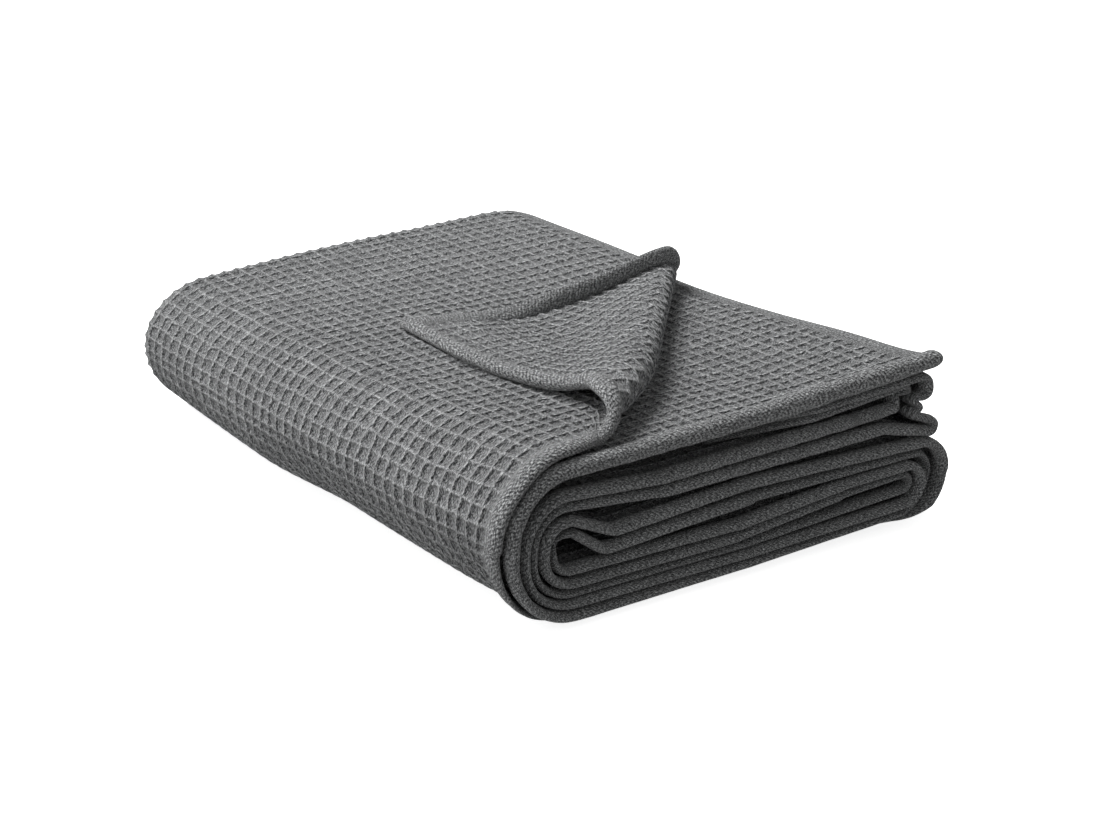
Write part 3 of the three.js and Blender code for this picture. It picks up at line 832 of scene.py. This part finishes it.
@dataclass
class NodeMaker:
    """Short calls for building a node tree."""

    tree: bpy.types.NodeTree

    def node(self, kind: str, settings: dict | None = None, **inputs: object) -> bpy.types.Node:
        """Adds a node of a kind, named without its ShaderNode start.

        Inputs are values or outputs. An underscore in their names stands for a space.
        """
        made = self.tree.nodes.new("ShaderNode" + kind)
        for name, value in (settings or {}).items():
            setattr(made, name, value)
        for name, value in inputs.items():
            self.feed(made.inputs[name.replace("_", " ")], value)
        return made

    def feed(self, socket: Socket, value: object) -> None:
        """Links an output to a socket, or sets the socket's value."""
        if isinstance(value, Socket):
            self.tree.links.new(value, socket)
        else:
            socket.default_value = value

    def math(self, operation: str, *values: object, kind: str = "Math") -> Socket:
        """Adds a Math or VectorMath node and returns its output."""
        made = self.node(kind, {"operation": operation})
        for socket, value in zip(made.inputs, values):
            self.feed(socket, value)
        return made.outputs[0]

    def total(self, *terms: tuple[object, float]) -> Socket:
        """Adds up values, each times its weight."""
        whole, *parts = (self.math("MULTIPLY", value, weight) for value, weight in terms)
        for part in parts:
            whole = self.math("ADD", whole, part)
        return whole

    def off_middle(self, count: object) -> Socket:
        """How far the fraction of a count is from a half."""
        return self.math("ABSOLUTE", self.math("SUBTRACT", self.math("FRACT", count), 0.5))

    def step(self, value: object, low: float, high: float, to: Pair = (0.0, 1.0)) -> Socket:
        """Smooth step from to[0] at low to to[1] at high."""
        made = self.node("MapRange", {"interpolation_type": "SMOOTHSTEP"}, Value=value)
        for name, limit in zip(("From Min", "From Max", "To Min", "To Max"), (low, high, *to)):
            made.inputs[name].default_value = limit
        return made.outputs["Result"]

    def blend(self, share: object, first: object, second: object, kind: str = "RGBA") -> Socket:
        """Mixes two colours, or two vectors for the kind VECTOR, and returns the output."""
        made = self.node("Mix", {"data_type": kind})
        start, out = {"RGBA": (6, 2), "VECTOR": (4, 1)}[kind]
        for place, value in ((0, share), (start, first), (start + 1, second)):
            self.feed(made.inputs[place], value)
        return made.outputs[out]

    def noise(self, vector: object, scale: float, detail: float, rough: float) -> bpy.types.Node:
        """Adds a Noise node."""
        inputs = {"Vector": vector, "Scale": scale, "Detail": detail, "Roughness": rough}
        return self.node("TexNoise", **inputs)


@dataclass(frozen=True)
class WaffleCloth:
    """Heathered grey cotton in a waffle weave, with twill hems.

    Tones add up to a value that runs from dark over middle to light. The crests' tone is a painted
    highlight and the pits' tone is painted shade. Depths and heights are for the bump, in shares
    of its distance. Noises are given by scale, detail and roughness, and edges by the values at
    which they start and end.
    """

    dark: Colour = (0.043, 0.044, 0.046, 1.0)
    middle: Colour = (0.192, 0.196, 0.198, 1.0)
    light: Colour = (0.56, 0.57, 0.575, 1.0)
    dark_to_middle: Pair = (-0.05, 0.5)
    middle_to_light: Pair = (0.45, 1.1)
    body_edge: Pair = (-0.8, 0.8)
    # Both sets of strands: slant in degrees, squeeze, scale and share.
    strands: tuple[tuple, ...] = (
        (-38.0, (0.45, 1.25, 1.0), 1.0, 0.62),
        (52.0, (0.6, 1.1, 1.0), 1.5, 0.38),
    )
    yarn: Trio = (0.95, 2.0, 0.6)
    yarn_edge: Pair = (0.43, 0.585)
    yarn_tone: float = 0.85
    yarn_height: float = 1.0
    patches: Trio = (0.03, 3.0, 0.5)
    patch_tone: float = 0.2
    # Crests and pits in shares of a cell, and how clear the walls across and along are.
    wander: Trio = (0.16, 3.0, 0.5)
    wander_reach: Trio = (0.4, 0.36, 0.0)
    wall_strength: Pair = (0.75, 1.0)
    crest_edge: Pair = (0.0255, 0.085)
    # painted highlight: the thin crests are made lighter, as where light catches them
    crest_painted_highlight: float = 0.21
    crest_height: float = 0.5
    pit_edge: Pair = (0.04, 0.22)
    # painted shade: the pits are made darker, as where shade falls in them
    pit_painted_shade: float = -0.1
    pit_height: float = -1.5
    # The twill of the hems, in millimetres.
    twill_pitch: float = 2.9
    twill_lean: float = 0.62
    twill_wander: Trio = (0.2, 2.0, 0.5)
    twill_wander_reach: float = 2.6
    rib_edge: Pair = (0.08, 0.42)
    rib_share: float = 0.6
    knots: Trio = (0.48, 2.0, 0.55)
    knot_edge: Pair = (0.36, 0.62)
    knot_share: float = 0.75
    twill_tone: float = 0.46
    twill_height: float = 0.9
    # The stitches, outside the hems' inner edge, in millimetres.
    stitch_off: float = 1.9
    stitch_edge: Pair = (0.25, 0.75)
    stitch_pitch: float = 3.1
    stitch_gap: Pair = (0.3, 0.42)
    stitch_gap_share: float = 0.35
    stitch_tone: float = 0.45
    stitch_height: float = -0.5
    bump_strength: float = 0.9
    bump_distance: float = 0.0012
    roughness: float = 0.93
    gloss: float = 0.15
    sheen: float = 0.25
    sheen_roughness: float = 0.5

    def build(self) -> bpy.types.Material:
        """Makes the material."""
        material = bpy.data.materials.new("waffle_cloth")
        material.use_nodes = True
        material.node_tree.nodes.clear()
        make = NodeMaker(material.node_tree)
        uv = make.node("UVMap", {"uv_map": "weave"}).outputs[0]
        rim = make.node("UVMap", {"uv_map": "rim"}).outputs[0]
        weave = Weave()
        cloth = make.math("MULTIPLY", uv, (weave.across, weave.along, 1.0), kind="VectorMath")
        place = make.node("SeparateXYZ", Vector=cloth)
        nearest = make.math("MINIMUM", place.outputs[0], place.outputs[1])
        body = make.step(nearest, *self.body_edge)

        crest, pit = (make.math("MULTIPLY", part, body) for part in self.walls(make, uv, cloth))
        yarn = self.yarns(make, make.blend(body, rim, cloth, "VECTOR"))
        twill = self.twill(make, rim, body)
        stitch = self.stitches(make, place, nearest)
        patches = make.noise(cloth, *self.patches).outputs[0]

        tone = make.total(
            (make.step(yarn, *self.yarn_edge), self.yarn_tone),
            # painted highlight on the crests and painted shade in the pits
            (crest, self.crest_painted_highlight),
            (pit, self.pit_painted_shade),
            (twill, self.twill_tone),
            (make.math("SUBTRACT", patches, 0.5), self.patch_tone),
        )
        low = make.blend(make.step(tone, *self.dark_to_middle), self.dark, self.middle)
        colour = make.blend(make.step(tone, *self.middle_to_light), low, self.light)
        colour = make.blend(make.math("MULTIPLY", stitch, self.stitch_tone), colour, self.dark)

        height = make.total(
            (crest, self.crest_height),
            (yarn, self.yarn_height),
            (stitch, self.stitch_height),
            (pit, self.pit_height),
            (twill, self.twill_height),
        )
        bump = make.node(
            "Bump", Height=height, Strength=self.bump_strength, Distance=self.bump_distance
        )
        looks = {"Base Color": colour, "Normal": bump.outputs[0], "Roughness": self.roughness}
        looks |= {"Specular IOR Level": self.gloss, "Sheen Weight": self.sheen}
        looks["Sheen Roughness"] = self.sheen_roughness
        shader = make.node("BsdfPrincipled", **looks)
        make.feed(make.node("OutputMaterial").inputs[0], shader.outputs[0])
        return material

    def walls(self, make: NodeMaker, uv: Socket, cloth: Socket) -> tuple[Socket, Socket]:
        """Outputs that are 1 on the thin crests of the walls, and 1 in the pits between."""
        wander = make.noise(cloth, *self.wander).outputs["Color"]
        middle = tuple(reach / 2.0 for reach in self.wander_reach)
        centred = make.math("SUBTRACT", uv, middle, kind="VectorMath")
        shifted = make.math("MULTIPLY_ADD", wander, self.wander_reach, centred, kind="VectorMath")
        cells = make.node("SeparateXYZ", Vector=shifted)
        crests, pits = [], []
        for output, strength in zip(cells.outputs, self.wall_strength):
            to_wall = make.math("SUBTRACT", 0.5, make.off_middle(output))
            crests.append(make.step(to_wall, *self.crest_edge, (strength, 0.0)))
            pits.append(make.step(to_wall, *self.pit_edge))
        return make.math("MAXIMUM", *crests), make.math("MULTIPLY", *pits)

    def yarns(self, make: NodeMaker, cloth: Socket) -> Socket:
        """Slanting strokes of light and dark yarn, crossed by fibres."""
        scale, detail, rough = self.yarn
        terms = []
        for slant, squeeze, finer, share in self.strands:
            turn = (0.0, 0.0, math.radians(slant))
            turned = make.node("Mapping", Vector=cloth, Rotation=turn, Scale=squeeze)
            strand = make.noise(turned.outputs[0], scale * finer, detail, rough)
            terms.append((strand.outputs[0], share))
        return make.total(*terms)

    def twill(self, make: NodeMaker, rim: Socket, body: Socket) -> Socket:
        """Slanting ribs and knots of the hems, from about -0.7 to 0.7, and 0 off the hems."""
        place = make.node("SeparateXYZ", Vector=rim)
        lean = make.math("MULTIPLY", place.outputs[1], self.twill_lean)
        wander = make.noise(rim, *self.twill_wander).outputs[0]
        uneven = make.math("MULTIPLY", wander, self.twill_wander_reach)
        run = make.math("ADD", make.math("ADD", place.outputs[0], lean), uneven)
        off = make.off_middle(make.math("DIVIDE", run, self.twill_pitch))
        ribs = make.step(off, *self.rib_edge, (0.5, -0.5))
        knots = make.step(make.noise(rim, *self.knots).outputs[0], *self.knot_edge, (-0.5, 0.5))
        both = make.total((ribs, self.rib_share), (knots, self.knot_share))
        return make.math("MULTIPLY", both, make.math("SUBTRACT", 1.0, body))

    def stitches(self, make: NodeMaker, place: bpy.types.Node, nearest: Socket) -> Socket:
        """Output that is 1 on a stitch, where nearest is how far the hem's inner edge is."""
        off = make.math("ABSOLUTE", make.math("ADD", nearest, self.stitch_off))
        line = make.step(off, *self.stitch_edge, (1.0, 0.0))
        run = make.math("MAXIMUM", place.outputs[0], place.outputs[1])
        along = make.off_middle(make.math("DIVIDE", run, self.stitch_pitch))
        gap = make.step(along, *self.stitch_gap, (1.0, self.stitch_gap_share))
        return make.math("MULTIPLY", line, gap)


@dataclass
class Bedspread:
    """The whole cloth: its pieces from the turned corner to the inner layers."""

    stack: Stack = field(default_factory=Stack)
    finish: WaffleCloth = field(default_factory=WaffleCloth)

    def cut(self, name: str, share: float = 0.0) -> float:
        """Length along the section at a named corner, or a share of the way to the next."""
        names = [corner.name for corner in FOLDS]
        return self.stack.section.length_at(names.index(name) + share)

    def pieces(self) -> list[ClothPiece]:
        """All pieces, each from one cut to the next."""
        whole, opened = Rows(CELLS_ALONG, 0, FINE), Rows(27, 3, FINE)
        inner = Rows(2, 3, MEDIUM)
        left, base = self.cut("run 1, crease", 0.6), self.cut("run 8, left")
        right = self.cut("outer right, top", 0.55)
        crumple, loops = self.cut("run 3, middle", 0.6), self.cut("loop, top", 0.4)
        ends, seen_from = self.cut("inner end"), self.cut("run 8, middle", 0.55)
        table = (
            ("turned_corner", Half.A, 0.0, left, whole, ("second_layer",)),
            ("second_layer", Half.B, 0.0, left, opened, ("inner_layers",)),
            ("left_fold", Half.A, left, base, whole, ("floor",)),
            ("base_and_right_fold", Half.A, base, right, whole, ("floor",), seen_from),
            ("middle_layers", Half.A, right, crumple, inner, ("inner_layers",)),
            ("right_loops", Half.A, crumple, loops, whole, ("middle_layers",)),
            ("inner_end", Half.A, loops, ends, inner, ("right_loops",)),
            ("inner_layers", Half.B, left, ends, inner, ("base_and_right_fold",)),
        )
        return [ClothPiece(self.stack, *row) for row in table]

    def build(self) -> None:
        """Makes and dresses every piece, attaches it to the body and hides the imported part."""
        material = self.finish.build()
        for part in self.pieces():
            piece = part.build()
            piece.data.materials.append(material)
            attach(piece, BODY)
            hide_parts(NODE)
            part.flat()
            log.info("%s: %d faces", part.name, len(piece.data.polygons))


@dataclass
class Studio:
    """Pale floor, soft light and the camera."""

    white: Colour = (1.0, 1.0, 1.0, 1.0)
    floor_side: float = 14.0
    floor_roughness: float = 0.9
    floor_glow: float = 0.8
    surrounding_glow: float = 0.31
    # Each lamp's name, place, spread in degrees and strength.
    lamps: tuple[tuple, ...] = (
        ("key", (-0.6, 1.35, 2.3), 32.0, 3.45),
        ("left", (-2.6, 0.3, 0.6), 80.0, 1.05),
    )
    lens: float = 66.83
    sensor: float = 36.0
    sight: Pair = (0.05, 50.0)
    eye: Trio = (-0.7420, -1.1867, 0.5341)
    aim: Trio = (0.0092, -0.0333, 0.0463)

    def build_floor(self) -> None:
        """Makes the floor."""
        mesh = grid_mesh("floor", 4, 4, self.floor_side / 2.0)
        floor = placed("floor", mesh)
        material = bpy.data.materials.new("pale_floor")
        material.use_nodes = True
        shader = material.node_tree.nodes["Principled BSDF"]
        shader.inputs["Base Color"].default_value = self.white
        shader.inputs["Roughness"].default_value = self.floor_roughness
        shader.inputs["Emission Color"].default_value = self.white
        shader.inputs["Emission Strength"].default_value = self.floor_glow
        mesh.materials.append(material)
        floor.visible_diffuse = False

    def build_lights(self) -> None:
        """Adds the soft lights and the surrounding glow."""
        for name, place, spread, strength in self.lamps:
            light = bpy.data.lights.new(name, "SUN")
            light.angle, light.energy = math.radians(spread), strength
            lamp = placed(name, light)
            lamp.location = place
            lamp.rotation_euler = (-Vector(place)).to_track_quat("-Z", "Y").to_euler()
        world = bpy.data.worlds.new("glow")
        world.use_nodes = True
        glow = world.node_tree.nodes["Background"]
        glow.inputs["Color"].default_value = self.white
        glow.inputs["Strength"].default_value = self.surrounding_glow
        bpy.context.scene.world = world
        bpy.context.scene.view_settings.view_transform = "Standard"

    def build_camera(self) -> None:
        """Adds the camera."""
        data = bpy.data.cameras.new("camera")
        data.lens, data.sensor_width = self.lens, self.sensor
        data.clip_start, data.clip_end = self.sight
        camera = placed("camera", data)
        camera.location = self.eye
        way = Vector(self.aim) - Vector(self.eye)
        camera.rotation_euler = way.to_track_quat("-Z", "Y").to_euler()
        bpy.context.scene.camera = camera


def main() -> None:
    """Builds the scene in order."""
    logging.basicConfig(level=logging.INFO, format="%(name)s: %(message)s")
    studio = Studio()
    studio.build_camera()
    studio.build_floor()
    log.info("floor and camera placed")
    Bedspread().build()
    studio.build_lights()
    log.info("lights placed")


if __name__ == "__main__":
    main()
